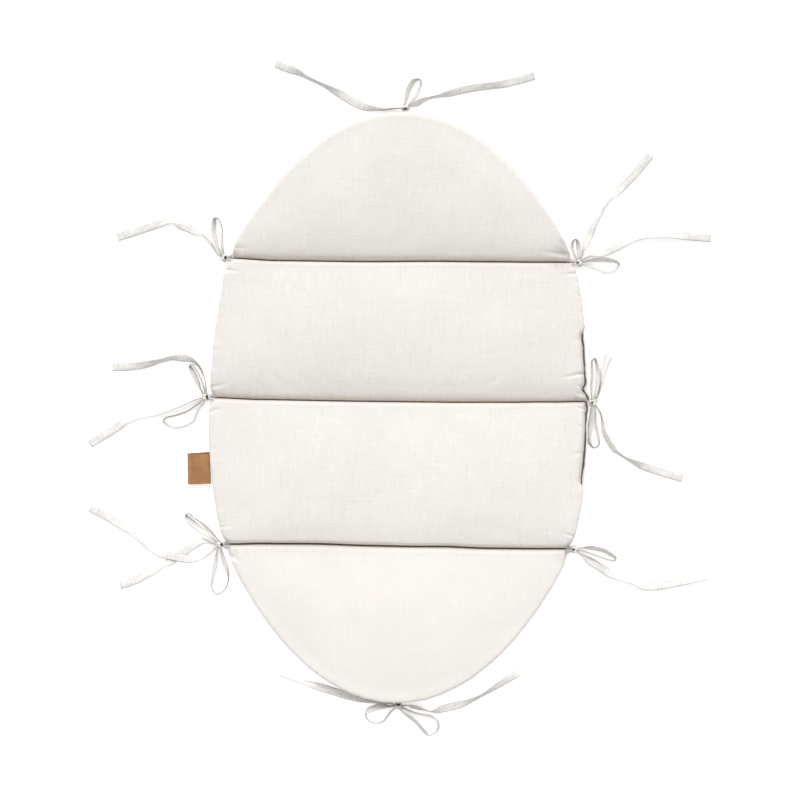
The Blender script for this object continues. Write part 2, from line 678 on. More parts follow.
def linen_weave_group():
    """Linen: thick-and-thin threads both ways, a fine weave and a few dark specks."""
    name = "linen weave"
    if name in bpy.data.node_groups:
        return bpy.data.node_groups[name]
    group, given, wanted = group_with(
        name,
        [("Vector", "NodeSocketVector", None), ("Threads", "NodeSocketFloat", 1.0),
         ("Specks", "NodeSocketFloat", 1.0)],
        [("Shade", "NodeSocketFloat"), ("Specks", "NodeSocketFloat"),
         ("Height", "NodeSocketFloat")])
    vector = given["Vector"]
    along = slubs(group, vector, THREADS_ALONG, PATCHES_ALONG, 1.0)
    across = slubs(group, vector, THREADS_ACROSS, PATCHES_ACROSS, 1.3)
    threads = times(group, plus(group, along, across), given["Threads"])
    broad = noise_value(group, vector, BROAD_TONES, 2.0, 0.5)
    shade = plus(group, threads, remapped(group, broad, *NOISE_SPAN, -0.5, 0.5))
    group.links.new(shade, wanted["Shade"])
    dots = noise_value(group, stretched(group, vector, SPECKS), 1.0, 1.0)
    specks = times(group, remapped(group, dots, 0.70, 0.80), given["Specks"])
    group.links.new(specks, wanted["Specks"])
    warp = noise_value(group, stretched(group, vector, WARP), 1.0, 1.0)
    weft = noise_value(group, stretched(group, vector, WEFT), 1.0, 1.0)
    height = plus(group, plus(group, warp, weft), times(group, threads, 0.12))
    group.links.new(height, wanted["Height"])
    return group


def woven(tree, vector, threads, specks):
    """The outputs of the linen weave, placed in a material."""
    values = {"Vector": vector, "Threads": threads, "Specks": specks}
    return add_node(tree, "ShaderNodeGroup", values, node_tree=linen_weave_group()).outputs


# What the linen weave's shade runs through.
SHADE_SPAN = (-2.0, 2.0)

# How rough woven cloth is, and how glossy every material.
CLOTH_ROUGHNESS = 0.92
GLOSS = 0.25


def made_once(build):
    """A maker of materials that gives the one of its name again if it is there."""
    def find_or_build(name, *finish):
        return bpy.data.materials.get(name) or build(name, *finish)
    return find_or_build


def new_material(name, colour, roughness):
    """A material with its Principled shader ready."""
    material = bpy.data.materials.new(name)
    material.use_nodes = True
    material.diffuse_color = (*colour, 1.0)
    shader = material.node_tree.nodes["Principled BSDF"]
    shader.inputs["Roughness"].default_value = roughness
    shader.inputs["Specular IOR Level"].default_value = GLOSS
    return material, material.node_tree, shader


def finish_surface(tree, shader, colour, height=None, distance=0.0002, strength=1.0):
    """Gives a shader its colour and, from a height, its bumps."""
    tree.links.new(colour, shader.inputs["Base Color"])
    if height is None:
        return
    bump = add_node(
        tree, "ShaderNodeBump", {"Height": height, "Distance": distance, "Strength": strength})
    tree.links.new(bump.outputs["Normal"], shader.inputs["Normal"])


@made_once
def linen(name, colour, threads=1.0, specks=1.0):
    """Cream linen-look cotton."""
    material, tree, shader = new_material(name, colour, CLOTH_ROUGHNESS)
    place = add_node(tree, "ShaderNodeTexCoord").outputs["Object"]
    weave = woven(tree, place, threads, specks)
    cloth = two_toned(tree, weave["Shade"], SHADE_SPAN, colour, (0.945, 1.042))
    speck = dyed(colour, 0.80, 0.76, 0.70)
    cloth = mixed(tree, times(tree, weave["Specks"], 0.5), cloth, speck)
    tucked = dyed(colour, 0.36, 0.32, 0.28)
    cloth = mixed(tree, painted(tree, "shade"), cloth, tucked)
    finish_surface(tree, shader, cloth, weave["Height"], 0.0001, 0.8)
    return material


@made_once
def tape(name, colour):
    """The cover's linen cut into narrow tape: fine ribs across, darker sewn edges and creases."""
    material, tree, shader = new_material(name, colour, CLOTH_ROUGHNESS)
    place = add_node(tree, "ShaderNodeTexCoord").outputs["UV"]
    weave = woven(tree, stretched(tree, place, (1, 1.4, 1)), 3.2, 2.0)
    cloth = two_toned(tree, weave["Shade"], SHADE_SPAN, colour, (0.87, 1.06))
    around = add_node(tree, "ShaderNodeSeparateXYZ", {"Vector": place}).outputs["X"]
    turn = math_value(tree, "COSINE", times(tree, around, math.tau / TAPE_ROUND))
    edge = remapped(tree, math_value(tree, "ABSOLUTE", turn), 0.86, 0.99, 0.0, 0.50)
    rough = noise_value(tree, stretched(tree, place, (160, 160, 160)), 1.0, 2.0)
    fold = times(tree, painted(tree, "creased"), remapped(tree, rough, 0.25, 0.7, 0.5, 1.0))
    dark = dyed(colour, 0.30, 0.27, 0.24)
    cloth = mixed(tree, math_value(tree, "MAXIMUM", edge, fold), cloth, dark)
    finish_surface(tree, shader, cloth, weave["Height"])
    return material


@made_once
def hollow_cloth(name, colour):
    """The shaded cloth inside a knot."""
    material, tree, shader = new_material(name, colour, 0.95)
    place = add_node(tree, "ShaderNodeTexCoord").outputs["Object"]
    tone = noise_value(tree, place, 900.0, 2.0)
    finish_surface(tree, shader, two_toned(tree, tone, NOISE_SPAN, colour, (0.6, 1.8)))
    return material


@made_once
def thread(name, colour):
    """Twisted thread."""
    material, tree, shader = new_material(name, colour, 0.7)
    place = add_node(tree, "ShaderNodeTexCoord").outputs["Object"]
    twist = noise_value(tree, stretched(tree, place, (1500, 3200, 1500)), 1.0, 1.0)
    tone = noise_value(tree, place, 90.0, 1.0)
    shade = plus(tree, times(tree, twist, 0.5), times(tree, tone, 0.5))
    strand = two_toned(tree, shade, NOISE_SPAN, colour, (0.6, 1.5))
    finish_surface(tree, shader, strand, twist)
    return material


@made_once
def leather(name, colour, edge):
    """Smooth tan leather with a fine grain, a burnished fold and dark cut edges."""
    material, tree, shader = new_material(name, colour, 0.46)
    place = add_node(tree, "ShaderNodeTexCoord").outputs["Object"]
    cloudy = noise_value(tree, place, 70.0, 3.0, 0.6)
    fibre = noise_value(tree, stretched(tree, place, (900, 160, 900)), 1.0, 2.0)
    grain = add_node(
        tree, "ShaderNodeTexVoronoi", {"Vector": place, "Scale": 1500.0},
        feature="DISTANCE_TO_EDGE").outputs["Distance"]
    shade = plus(tree, times(tree, cloudy, 0.7), times(tree, fibre, 0.3))
    skin = two_toned(tree, shade, NOISE_SPAN, colour, (0.82, 1.16))
    skin = mixed(tree, painted(tree, "rub"), skin, with_alpha(edge))
    skin = mixed(tree, painted(tree, "fold_light"), skin, with_alpha(colour, 1.45))
    rough = remapped(tree, cloudy, *NOISE_SPAN, 0.40, 0.56)
    tree.links.new(rough, shader.inputs["Roughness"])
    height = plus(tree, remapped(tree, grain, 0.0, 0.12), times(tree, fibre, 0.6))
    finish_surface(tree, shader, skin, height, 0.00006, 0.7)
    return material


# The shape of the quilted panels, laid flat and padded.

# How far each stitch line wanders from straight: places across the pad with the stray at each, in
# millimetres.
CHANNEL_WANDER = {
    "head": ((-220, -0.2), (-160, -2.6), (-60, -2.6), (60, -0.7), (157, -0.3), (220, 0.4)),
    "middle": (
        (-241, -0.6), (-178, -2.2), (-60, -2.7), (60, -2.4), (129, -1.5), (190, -0.3), (241, 1.0)),
    "foot": (
        (-220, 0.6), (-170, 2.1), (-108, 2.7), (-31, 1.3), (20, 1.0), (60, 1.5), (110, 0.1),
        (160, 0.3), (220, 1.0)),
}
CHANNEL_PLACES = {"head": HEAD_CHANNEL.y, "middle": MIDDLE_CHANNEL.y, "foot": FOOT_CHANNEL.y}

# Each panel: its body, its near and far channel and which way it runs. Then, for the near and the
# far channel, how far it rolls to them, how sharply, and how much of that fall is a steep lip.
PANEL_ROWS = {
    "head": ("head_panel", "head", None, 1, (0.095, 5, 0.38), None),
    "upper": ("upper_panel", "head", "middle", -1, (0.095, 2, 0.76), (0.085, 4, 0.30)),
    "lower": ("lower_panel", "middle", "foot", -1, (0.095, 2, 0.76), (0.075, 4, 0.62)),
    "foot": ("foot_panel", "foot", None, -1, (0.095, 2, 0.78), None),
}

# The rims whose edge seam shows beside the padding, and from where to where along the panel. It
# is tucked under at all the others.
BARE_RIMS = {("upper", 1): (0.46, 1.1), ("lower", 1): (-0.1, 0.60)}

# The pleats that the ties pull: from the rim inwards, across and along, then depth and width, all
# in millimetres.
PLEATS = {
    "head": (
        (223.4, 94.2, 187.2, 120.6, 5.5, 2.6), (225.9, 93, 206.1, 136.2, 3, 1.8),
        (220.8, 95.5, 164.3, 104.9, 2.4, 2.6), (207.6, 123.4, 187, 133.4, 1.6, 1.5),
        (193.1, 151.4, 176.4, 156.3, 1.2, 1.5), (-224.6, 91.8, -196.8, 115.2, 3.4, 2),
        (-203.3, 120.3, -189.2, 123, 1.8, 1.4), (-214.5, 99.6, -191.5, 101.2, 1.6, 1.6),
    ),
    "upper": (
        (228.5, 90.4, 174.9, 82, 3.4, 2.8), (227.5, 76.4, 198.1, 70.8, 3, 1.6),
        (229, 61, 210.9, 67.2, 1.5, 1.4), (231.8, 40.6, 211.1, 53.1, 2, 1.5),
        (237.3, 16.3, 217.8, 31.4, 2.6, 1.3), (236.2, 2.2, 222, 7.2, 1.4, 1.2),
        (236.4, -11.9, 212, -7.1, 2.2, 1.3), (235.4, -32.3, 221.3, -30, 1.3, 1.2),
        (236.9, -51.5, 199.9, -59.7, 4.2, 1.5), (235.9, -70.7, 217.9, -65.9, 1.7, 1.3),
        (239.9, -82.2, 218.1, -74.8, 2.4, 1.5), (-224.4, 73.9, -201.3, 70.4, 2.6, 1.5),
        (-245.3, -80, -214.7, -69.4, 2.6, 1.9), (-239.6, -31.3, -223, -28.5, 1.5, 1.4),
        (-236.3, 12.3, -222.2, 11.2, 1.1, 1.3),
    ),
    "lower": (
        (240.2, -100.1, 218.3, -92.8, 2.4, 1.5), (235.4, -122, 221.2, -117, 1.4, 1.3),
        (234.5, -152.7, 214.1, -156.8, 1.9, 1.4), (232.4, -188.6, 219.6, -186.2, 1.2, 1.3),
        (-244.8, -112, -221.9, -101.5, 2.8, 1.7), (-245.8, -132.5, -227.9, -134.8, 1.5, 1.4),
        (-241.3, -182.4, -228.5, -182.2, 1, 1.3), (-231.3, -257.8, -207, -251, 2.4, 1.6),
        (228.4, -265.4, 202.6, -251.7, 2.4, 1.6), (230.6, -239.8, 217.8, -237.4, 1.2, 1.3),
    ),
    "foot": (
        (-220.7, -281.9, -188.4, -302, 3, 2.2), (227.3, -279.5, 198.1, -297.9, 3, 2.2),
        (216, -291.2, 203.3, -304.2, 1.4, 1.5),
    ),
}


# How far from a rim or a channel the cloth's shape reaches: the overhang's peak, its fall on the
# padding and its fade at a channel, the fades of the tucks at the ties and beside a bare seam, the
# fade of the wander, the climb of the rim and the soft part of the side roll.
OVERHANG_PEAK = 0.0035
OVERHANG_FALL = 0.012
OVERHANG_CHANNEL_FADE = 0.018
TUCK_RIM_FADE = 0.030
TUCK_CHANNEL_FADE = 0.013
BARE_CHANNEL_FADE = 0.016
WANDER_FADE = 0.05
SEAM_CLIMB = 0.03
SOFT_ROLL = 0.034

# How much less the cloth hangs over a bare seam and over the head's tip, from where and over how
# much of the head that sets in, and over how much of a side a bare seam does, as shares.
BARE_OVERHANG_LOSS = 0.75
HEAD_OVERHANG_LOSS = 0.70
HEAD_LOSS_START_SHARE = 0.10
HEAD_LOSS_SPAN_SHARE = 0.45
BARE_FADE_SHARE = 0.06

# The nick just above the tie at the right of the middle channel, whose corner keeps its width.
NICK_STRENGTH = 0.9
NICK_PLACE = 0.014
NICK_WIDTH = 0.006
NICK_CORNER = 0.010

# The steps round an arch and the spacing of its points, how much of it is cut as the sides of the
# cloth, and its radius where its puckers are spaced.
ARC_STEPS = 720
ARC_SPACING = 0.0005
ARCH_SIDE_SHARE = 0.30
ARCH_RADIUS = 0.2

# Half the thickness of the cloth's rim.
EDGE_HALF = 0.0005


def wander(channel, across):
    """How far a stitch line strays from its straight line, in metres."""
    return table_value(CHANNEL_WANDER[channel], across / MM) * MM


class PanelShape:
    """One panel. Across runs from its middle line, along from its near channel."""

    def __init__(self, name, sizes):
        body, near, far, heading, near_roll, far_roll = PANEL_ROWS[name]
        self.name, self.body, self.near, self.far = name, body, near, far
        self.heading, self.near_roll, self.far_roll = heading, near_roll, far_roll
        self.sizes = sizes
        self.bulge = {"upper": sizes.upper_bulge, "lower": sizes.lower_bulge}.get(name, 0.0)
        self.start = CHANNEL_PLACES[near]
        self.arched = far is None
        tip = HEAD_TIP.y if heading > 0 else FOOT_TIP.y
        end = tip if self.arched else CHANNEL_PLACES[far]
        self.length = abs(end - self.start)
        self.near_half = self.half_at(near)
        self.far_half = 0.0 if self.arched else self.half_at(far)
        self.arc = self.measured_arc() if self.arched else None

    def half_at(self, channel):
        """Half the width at a channel."""
        if channel == "middle":
            return self.sizes.middle_half_width
        return self.sizes.outer_half_width

    def half_width(self, along):
        """Half the width at a distance along."""
        share = clamp(along / self.length)
        if self.arched:
            full = self.sizes.arch_share
            return self.near_half * math.sqrt(max(0.0, 1 - full * share - (1 - full) * share ** 2))
        straight = mix(self.near_half, self.far_half, share)
        return straight + self.bulge * 4 * share * (1 - share)

    def rim_distance(self, across, along):
        """About how far a point lies inside the rim."""
        share = clamp(along / self.length)
        if not self.arched:
            return max(0.0, self.half_width(along) - abs(across))
        full = self.sizes.arch_share
        inside = 1 - full * share - (1 - full) * share ** 2 - (across / self.near_half) ** 2
        slope_along = (full + 2 * (1 - full) * share) / self.length
        slope_across = 2 * abs(across) / self.near_half ** 2
        return max(0.0, inside) / math.hypot(slope_along, slope_across)

    def outwards(self, across, along):
        """The level direction straight out over the rim, in the pad's frame."""
        if not self.arched:
            return Vector((math.copysign(1.0, across), 0, 0))
        full = self.sizes.arch_share
        share = clamp(along / self.length)
        slope_along = (full + 2 * (1 - full) * share) / self.length
        slope_across = 2 * across / self.near_half ** 2
        return Vector((slope_across, self.heading * slope_along, 0)).normalized()

    def edge_swell(self, across, along):
        """How far the front cloth swells out over its rim."""
        rim = self.rim_distance(across, along)
        inwards = 1 - ease((rim - OVERHANG_PEAK) / OVERHANG_FALL)
        swell = self.sizes.edge_bulge * ease(rim / OVERHANG_PEAK) * inwards
        swell *= 1 - BARE_OVERHANG_LOSS * self.bareness(math.copysign(1, across), along)
        if self.name == "head":
            towards_tip = (along / self.length - HEAD_LOSS_START_SHARE) / HEAD_LOSS_SPAN_SHARE
            swell *= 1 - HEAD_OVERHANG_LOSS * ease(towards_tip)
        return swell * ease(self.channel_distance(along) / OVERHANG_CHANNEL_FADE)

    def bareness(self, side, along):
        """A share of 1 where the edge seam shows beside the padding, and 0 where it is tucked."""
        start, end = BARE_RIMS.get((self.name, side), (2.0, 2.0))
        share = along / self.length
        return ease((share - start) / BARE_FADE_SHARE) * ease((end - share) / BARE_FADE_SHARE)

    def rim_place(self, across, along):
        """How far round the rim a point lies, so that creases can run in from the rim."""
        if not self.arched:
            return along + math.copysign(1.0, across)
        return math.atan2(across / self.near_half, along / self.length) * ARCH_RADIUS

    def measured_arc(self):
        """Points round the arch from its left end to its right end, at equal steps."""
        points = []
        full = self.sizes.arch_share
        for step in range(ARC_STEPS + 1):
            sweep = math.sin(math.pi * (step / ARC_STEPS - 0.5))
            root = math.sqrt(full ** 2 + 4 * (1 - full) * (1 - sweep ** 2))
            share = (root - full) / (2 * (1 - full))
            points.append((sweep * self.near_half, share * self.length))
        return evenly_spaced(points, ARC_SPACING)

    def arch_point(self, share):
        """The point of the arch at a share of its length."""
        place = clamp(share) * (len(self.arc) - 1)
        before = min(int(place), len(self.arc) - 2)
        a, b = self.arc[before], self.arc[before + 1]
        return Vector((mix(a[0], b[0], place - before), mix(a[1], b[1], place - before)))

    def flat_point(self, u, v):
        """Where a point of the cloth lies, across and along, with the cloth laid flat."""
        gap = self.sizes.channel_gap
        if not self.arched:
            along = mix(gap, self.length - gap, v)
            return Vector(((2 * u - 1) * self.half_width(along), along))
        side = ARCH_SIDE_SHARE
        base = Vector(((2 * u - 1) * self.near_half, 0))
        top = self.arch_point(mix(side, 1 - side, u))
        left = self.arch_point(side * v)
        right = self.arch_point(1 - side * v)
        corners = (
            Vector((-self.near_half, 0)), Vector((self.near_half, 0)),
            self.arch_point(side), self.arch_point(1 - side))
        edges = base * (1 - v) + top * v + left * (1 - u) + right * u
        spread = (
            corners[0] * (1 - u) * (1 - v) + corners[1] * u * (1 - v)
            + corners[2] * (1 - u) * v + corners[3] * u * v)
        point = edges - spread
        point.y = gap + point.y * (self.length - gap) / self.length
        return point

    def corner_tuck(self, across, along):
        """How far the ties draw the corners in, towards the middle line."""
        near_rim = 1 - ease(self.rim_distance(across, along) / TUCK_RIM_FADE)
        tuck = 1 - ease(self.channel_distance(along) / TUCK_CHANNEL_FADE)
        if (self.name, across > 0) == ("upper", True):
            to_far = self.length - along
            tuck += NICK_STRENGTH * math.exp(-((to_far - NICK_PLACE) / NICK_WIDTH) ** 2)
            tuck -= NICK_STRENGTH * (1 - ease(to_far / NICK_CORNER))
        bare = self.bareness(math.copysign(1, across), along)
        bare *= ease(self.channel_distance(along) / BARE_CHANNEL_FADE)
        return near_rim * (self.sizes.corner_tuck * tuck + self.sizes.bare_tuck * bare)

    def in_place(self, across, along, height):
        """A point of the panel in the pad's frame, drawn in at the ties, with its wander."""
        across -= math.copysign(self.corner_tuck(across, along), across)
        shift = wander(self.near, across) * (1 - ease(along / WANDER_FADE))
        if self.far:
            to_far = self.length - along
            shift += wander(self.far, across) * (1 - ease(to_far / WANDER_FADE))
        return Vector((across, self.start + self.heading * along + shift, height))

    def laid_flat(self, point):
        """Across and along of a point in the pad's frame."""
        return point.x, self.heading * (point.y - self.start)

    def channel_distance(self, along):
        """How far a point lies from the nearest channel."""
        if self.arched:
            return along
        return min(along, self.length - along)

    def channel_lift(self, along, roll, rise):
        """A share from 0 at the channels to 1 a roll away from them."""
        lift = rise(along / roll)
        if self.far:
            lift *= rise((self.length - along) / roll)
        return lift

    def loft(self, along):
        """A share from 0 at the channels to 1 away from them, steeper where a panel has a lip."""
        lift = self.channel_loft(along, self.near_roll)
        if self.far:
            lift *= self.channel_loft(self.length - along, self.far_roll)
        return lift

    def channel_loft(self, distance, fall):
        """The rise out of one channel."""
        roll, power, lip = fall
        broad = 1 - (1 - clamp(distance / roll)) ** power
        return mix(broad, eased_rise(distance / self.sizes.lip_roll), lip)

    def seam_height(self, along):
        """The height at which front and back meet."""
        lift = self.channel_lift(along, SEAM_CLIMB, eased_rise)
        return mix(self.sizes.channel_height, self.sizes.rim_height, lift)

    def front_height(self, across, along):
        """The height of the front cover."""
        base = self.seam_height(along) + EDGE_HALF
        half = self.half_width(along)
        share = clamp(abs(across) / half) if half > 0 else 1.0
        midway = math.sin(math.pi * clamp(along / self.length))
        top = self.sizes.shoulder_height + self.sizes.crown_rise * (1 - share ** 2) * midway
        rim = self.rim_distance(across, along)
        steep = arched_rise(rim / self.sizes.side_roll)
        side = mix(steep, eased_rise(rim / SOFT_ROLL), self.sizes.soft_side)
        return base + (top - base) * self.loft(along) * side

    def back_height(self, across, along):
        """The height of the back cover."""
        edge = self.seam_height(along) - EDGE_HALF
        roll = self.sizes.underside_channel_roll
        away = arched_rise(self.rim_distance(across, along) / self.sizes.underside_roll)
        away *= self.channel_lift(along, roll, arched_rise)
        return edge * (1 - away)


# How much smaller the cloth's cells are at its edges, how many more rows that takes, which share
# of an arch's length they cover, and how often its inner points are evened out.
EDGE_FINENESS = 0.6
EXTRA_ROWS = 1.15
ARCH_ROWS_SHARE = 0.62
EVENING_TURNS = 6


def finer_at_edges(share):
    """A share moved so that steps are smaller near both ends."""
    return share - EDGE_FINENESS * math.sin(math.tau * share) / math.tau


def panel_cloth(shape):
    """The panel as a closed cloth shell, front, back and rim."""
    cell = shape.sizes.cloth_cell
    columns = round(2 * max(shape.near_half, shape.far_half) / cell)
    reach = ARCH_ROWS_SHARE * shape.length if shape.arched else shape.length
    rows = round(reach * EXTRA_ROWS / cell)
    bm = bmesh.new()

    def on_front(u, v):
        across, along = shape.flat_point(finer_at_edges(u), finer_at_edges(v))
        return Vector((across, along, 0))

    front = drape_grid(bm, columns, rows, on_front)
    if shape.arched:
        inner = [vert for vert in front if not vert.is_boundary]
        for turn in range(EVENING_TURNS):
            bmesh.ops.smooth_vert(
                bm, verts=inner, factor=0.5, use_axis_x=True, use_axis_y=True, use_axis_z=True)
    flats = {vert: (vert.co.x, vert.co.y) for vert in front}
    for vert, (across, along) in flats.items():
        vert.co = shape.in_place(across, along, shape.front_height(across, along))
    extruded = bmesh.ops.extrude_face_region(bm, geom=bm.faces[:])["geom"]
    back = [item for item in extruded if isinstance(item, bmesh.types.BMVert)]
    for vert in back:
        across, along = shape.laid_flat(vert.co)
        vert.co.z = shape.back_height(across, along)
    bmesh.ops.recalc_face_normals(bm, faces=bm.faces)
    return bm


# Padding: the cloth swells under pressure, then its stitched edges are gathered.


# The cloth this near its back and its edges is held still, and the rest may swell fully only this
# far from a channel and from the rim.
HELD_LIFT = 0.0002
HELD_REACH = 0.0012
SWELL_CHANNEL_REACH = 0.09
SWELL_RIM_REACH = 0.07


def swollen(piece, shape):
    """Blows the front of the panel up with a short cloth simulation, within a cap."""
    sizes = shape.sizes
    mesh = piece.data
    before = [vert.co.copy() for vert in mesh.vertices]
    held = piece.vertex_groups.new(name="held")
    for vert in mesh.vertices:
        across, along = shape.laid_flat(vert.co)
        near_edge = min(shape.rim_distance(across, along), shape.channel_distance(along))
        low = shape.seam_height(along) + EDGE_HALF + HELD_LIFT
        if vert.co.z < low or near_edge < HELD_REACH:
            held.add([vert.index], 1.0, "REPLACE")
    cloth = piece.modifiers.new("swell", "CLOTH")
    cloth.settings.quality = 5
    cloth.settings.mass = 0.2
    cloth.settings.use_pressure = True
    cloth.settings.uniform_pressure_force = sizes.pressure
    cloth.settings.shrink_min = -sizes.cloth_growth
    cloth.settings.tension_stiffness = 12
    cloth.settings.compression_stiffness = 12
    cloth.settings.bending_stiffness = 0.4
    cloth.settings.vertex_group_mass = held.name
    cloth.settings.effector_weights.gravity = 0
    cloth.collision_settings.use_collision = False
    cloth.collision_settings.use_self_collision = False
    cloth.point_cache.frame_start = 1
    cloth.point_cache.frame_end = sizes.swell_frames
    for step in range(1, sizes.swell_frames + 1):
        bpy.context.scene.frame_set(step)
    settled = piece.evaluated_get(bpy.context.evaluated_depsgraph_get())
    after = [vert.co.copy() for vert in settled.data.vertices]
    piece.modifiers.remove(cloth)
    piece.vertex_groups.remove(held)
    bpy.context.scene.frame_set(1)
    for vert, old, new in zip(mesh.vertices, before, after):
        across, along = shape.laid_flat(old)
        room = sizes.swell_cap * ease(shape.channel_distance(along) / SWELL_CHANNEL_REACH)
        room *= ease(shape.rim_distance(across, along) / SWELL_RIM_REACH)
        move = new - old
        if move.length > room:
            move *= room / move.length
        vert.co = old + move


def refined(piece):
    """One subdivision of the finished cloth."""
    smoother = piece.modifiers.new("finer", "SUBSURF")
    smoother.levels = 1
    smoother.render_levels = 1
    finer = bpy.data.meshes.new_from_object(
        piece.evaluated_get(bpy.context.evaluated_depsgraph_get()))
    coarse = piece.data
    piece.modifiers.remove(smoother)
    finer.name = coarse.name
    piece.data = finer
    bpy.data.meshes.remove(coarse)


# How dark each panel's cloth is just on the head side of its stitch line, and how far that
# reaches. Then the same for its foot side, on all of them.
HEAD_SIDE_SHADES = {"head": 0.30, "upper": 0.34, "lower": 0.10, "foot": 0.0}
HEAD_SIDE_REACH = 0.0056
FOOT_SIDE_SHADE = 0.30
FOOT_SIDE_REACH = 0.0042

# Where cloth gathered to a knot lies in its own shade: across, along, reach in millimetres, share.
CORNER_SHADES = {
    "head": (
        (206, 102.5, 5, 0.30), (200.5, 107, 4.5, 0.28), (195, 110.5, 3.5, 0.15),
        (-208, 99, 4, 0.16), (-213, 94, 3.5, 0.20),
    ),
    "upper": (
        (190, 83.8, 3.2, 0.14), (197, 83.8, 3.6, 0.24), (204, 84.2, 3.6, 0.24),
        (211, 83.5, 3.2, 0.16), (224, -84, 4, 0.16), (-226, -84, 4, 0.16),
    ),
    "lower": ((-222, -270, 4, 0.16), (216, -271, 4, 0.16)),
    "foot": ((-205, -284, 4, 0.14), (204, -285, 4, 0.14)),
}


def seam_shade(shape, across, along):
    """How dark the gathered cloth is close to a channel, most of all on its head side."""
    towards_head = along if shape.heading > 0 else shape.length - along
    towards_foot = shape.length if shape.heading > 0 else along
    uneven = 1 + unevenness("seam shade", (across, 0, 0))
    shade = FOOT_SIDE_SHADE * math.exp(-towards_foot / FOOT_SIDE_REACH) * uneven
    strength = HEAD_SIDE_SHADES[shape.name]
    shade += strength * math.exp(-(towards_head / HEAD_SIDE_REACH) ** 2) * uneven
    for x, y, reach, strength in CORNER_SHADES[shape.name]:
        beside = math.hypot(across / MM - x, (shape.start + shape.heading * along) / MM - y)
        shade += strength * math.exp(-(beside / reach) ** 2)
    return clamp(shade)


def pleat_depth(pleats, place):
    """How deep the pleats run at a point."""
    depth = 0.0
    for outer, inner, deep, wide in pleats:
        nearest, share = geometry.intersect_point_line(place.xy, outer, inner)
        if share < 1:
            beside = (place.xy - nearest.xy).length / wide
            depth += deep * (1 - ease(share)) * math.exp(-beside * beside)
    return depth


# The puckers beside a channel: from where to where they show, and how much they run on along.
CHANNEL_PUCKERS = (
    ("fine channel pucker", 0.003, 0.016, 0.3),
    ("broad channel pucker", 0.006, 0.045, 0.5),
)

# From where to where the rim's puckers show and how much they run inwards, then where the panel's
# waves are full, from the rim and from a channel, and where the pleats are.
RIM_PUCKER_START = 0.002
RIM_PUCKER_END = 0.016
RIM_PUCKER_RUN = 0.25
WAVE_RIM_FADE = 0.01
WAVE_CHANNEL_FADE = 0.012
PLEAT_EDGE_FADE = 0.0015


def within(distance, start, end):
    """A share that rises from 0 at an edge to a start and falls to 0 at an end."""
    return (1 - ease(distance / end)) * ease(distance / start)


def gathered(piece, shape):
    """Puckers the cloth along its channels and its rim, and swells it over its edge seam."""
    sizes = shape.sizes
    pleats = [
        (Vector(row[0:2]) * MM, Vector(row[2:4]) * MM, row[4] * MM, row[5] * MM)
        for row in PLEATS[shape.name]]
    shades = piece.data.attributes.new("shade", "FLOAT", "POINT")
    for vert in piece.data.vertices:
        place = vert.co.copy()
        across, along = shape.laid_flat(place)
        if place.z < shape.seam_height(along):
            continue
        shades.data[vert.index].value = seam_shade(shape, across, along)
        rim = shape.rim_distance(across, along)
        channel = shape.channel_distance(along)
        rise = 0.0
        for kind, begin, end, run in CHANNEL_PUCKERS:
            spot = (across, shape.start, along * run)
            rise += within(channel, begin, end) * unevenness(kind, spot)
        spot = (shape.rim_place(across, along), rim * RIM_PUCKER_RUN, 0)
        fade = within(rim, RIM_PUCKER_START, RIM_PUCKER_END)
        rise += sizes.rim_pucker * fade * unevenness("rim pucker", spot)
        fade = ease(rim / WAVE_RIM_FADE) * ease(channel / WAVE_CHANNEL_FADE)
        rise += fade * unevenness("panel wave", (place.x, place.y, 0))
        rise -= pleat_depth(pleats, place) * ease(min(rim, channel) / PLEAT_EDGE_FADE)
        swell = shape.edge_swell(across, along) * (1 + unevenness("overhang", place))
        vert.co = place + Vector((0, 0, rise)) + shape.outwards(across, along) * swell


def quilted_panel(name, sizes, finish):
    """One padded panel, in place of its two covers and its wadding."""
    shape = PanelShape(name, sizes)
    piece = new_mesh_object(f"{name}_pad", panel_cloth(shape), finish)
    swollen(piece, shape)
    refined(piece)
    gathered(piece, shape)
    piece.data.shade_smooth()
    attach(piece, shape.body)
    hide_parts(f"{name}_front_cover", f"{name}_wadding", f"{name}_back_cover")


# The ties: narrow tapes that lie on edge near their knots and flat further out.


def knot_place(spot, sizes):
    """The middle of a tie's knot, level with the surface below it."""
    reach = sizes.knot_stand_off
    outer = OUTER_HALF_WIDTH + reach
    middle = MIDDLE_HALF_WIDTH + reach
    places = {
        "top": (sizes.top_shift, HEAD_TIP.y + reach),
        "leftHead": (-outer, HEAD_CHANNEL.y),
        "rightHead": (outer, HEAD_CHANNEL.y),
        "leftMiddle": (-middle, MIDDLE_CHANNEL.y),
        "rightMiddle": (middle, MIDDLE_CHANNEL.y),
        "leftFoot": (-outer, FOOT_CHANNEL.y),
        "rightFoot": (outer, FOOT_CHANNEL.y),
        "bottom": (sizes.bottom_shift, FOOT_TIP.y - reach),
    }
    return Vector((*places[spot], 0))


# The steps of a tape's curve between two of its points, and round its section.
CURVE_STEPS = 16
TAPE_SIDES = 12

# How much thicker the tape is in its knot, the tilt in degrees from which it counts as on edge and
# how soon it does fully, how dark that and the knot make it, and how far from the knot.
KNOT_THICKENING = 1.7
ON_EDGE_TILT = 66
ON_EDGE_SPAN = 28
ON_EDGE_SHADE = 0.62
KNOT_SHADE = 0.9
KNOT_SHADE_REACH = 0.006
CRINKLE_ACROSS = 0.004
LEAST_HEIGHT = 0.0001

